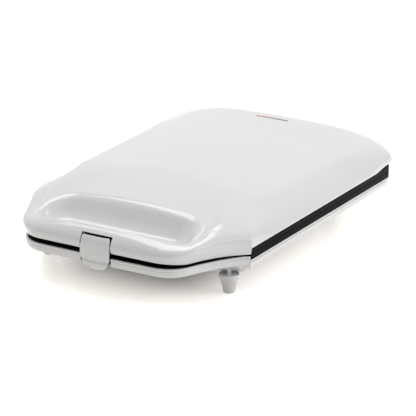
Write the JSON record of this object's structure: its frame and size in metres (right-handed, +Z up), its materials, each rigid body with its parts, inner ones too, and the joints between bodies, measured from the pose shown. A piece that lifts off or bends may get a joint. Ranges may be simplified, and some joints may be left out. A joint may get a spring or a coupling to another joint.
{
  "type": "sandwich toaster",
  "caption": "Clam-shell electric sandwich toaster with a hinged lid, handle nose, front latch, non-stick triangular pocket plates, indicator strip and feet.",
  "frame": {"origin": "on the table, under the middle of the closed toaster's footprint", "axes": "+Z up, the handle nose and latch point along -Y, the hinge is at the +Y end, +X to the right seen from the nose"},
  "size_m": [0.266, 0.395, 0.089],
  "materials": {
    "white_shell": "glossy moulded white",
    "black_frame": "matt moulded black, heat resistant",
    "non_stick": "dark non-stick coating on die-cast plate",
    "heater_sheath": "heat-darkened tube",
    "bright_steel": "zinc-plated",
    "reflector_sheet": "plain pressed sheet",
    "ceramic_body": "cream heat-resistant moulding",
    "soft_black": "matt",
    "lamp_glass": "clear lamp tube",
    "orange_lens": "translucent orange",
    "green_lens": "translucent teal green"
  },
  "bodies": {
    "base": {"base_shell": "white_shell", "lower_frame": "black_frame", "lower_plate": "non_stick", "lower_heater": "heater_sheath", "lower_heater_clamps": "bright_steel", "lower_reflector": "reflector_sheet", "lower_thermostat": "ceramic_body", "thermal_fuse": "bright_steel", "terminal_block": "ceramic_body", "cord_gland": "soft_black", "front_foot_left": "white_shell", "front_foot_right": "white_shell", "rear_foot_left": "white_shell", "rear_foot_right": "white_shell", "foot_pads": "soft_black", "base_screws": "bright_steel", "lower_plate_screws": "bright_steel", "hinge_pin_left": "bright_steel", "hinge_pin_right": "bright_steel"},
    "lid": {"lid_cover": "white_shell", "upper_frame": "black_frame", "upper_plate": "non_stick", "upper_heater": "heater_sheath", "upper_heater_clamps": "bright_steel", "upper_reflector": "reflector_sheet", "upper_thermostat": "ceramic_body", "lamp_holder": "ceramic_body", "power_lamp": "lamp_glass", "ready_lamp": "lamp_glass", "power_lens": "orange_lens", "ready_lens": "green_lens", "lid_screws": "bright_steel", "upper_plate_screws": "bright_steel", "latch_pin": "bright_steel"},
    "latch": {"latch": "white_shell"}
  },
  "joints": [
    {"name": "lid_hinge", "type": "hinge", "parent": "base", "child": "lid", "pos_m": [0, 0.189, 0.0446], "axis": [-1, 0, 0], "range_deg": [0, 105]},
    {"name": "latch_pivot", "type": "hinge", "parent": "lid", "child": "latch", "pos_m": [0, -0.1919, 0.0572], "axis": [-1, 0, 0], "range_deg": [-4, 60]}
  ]
}
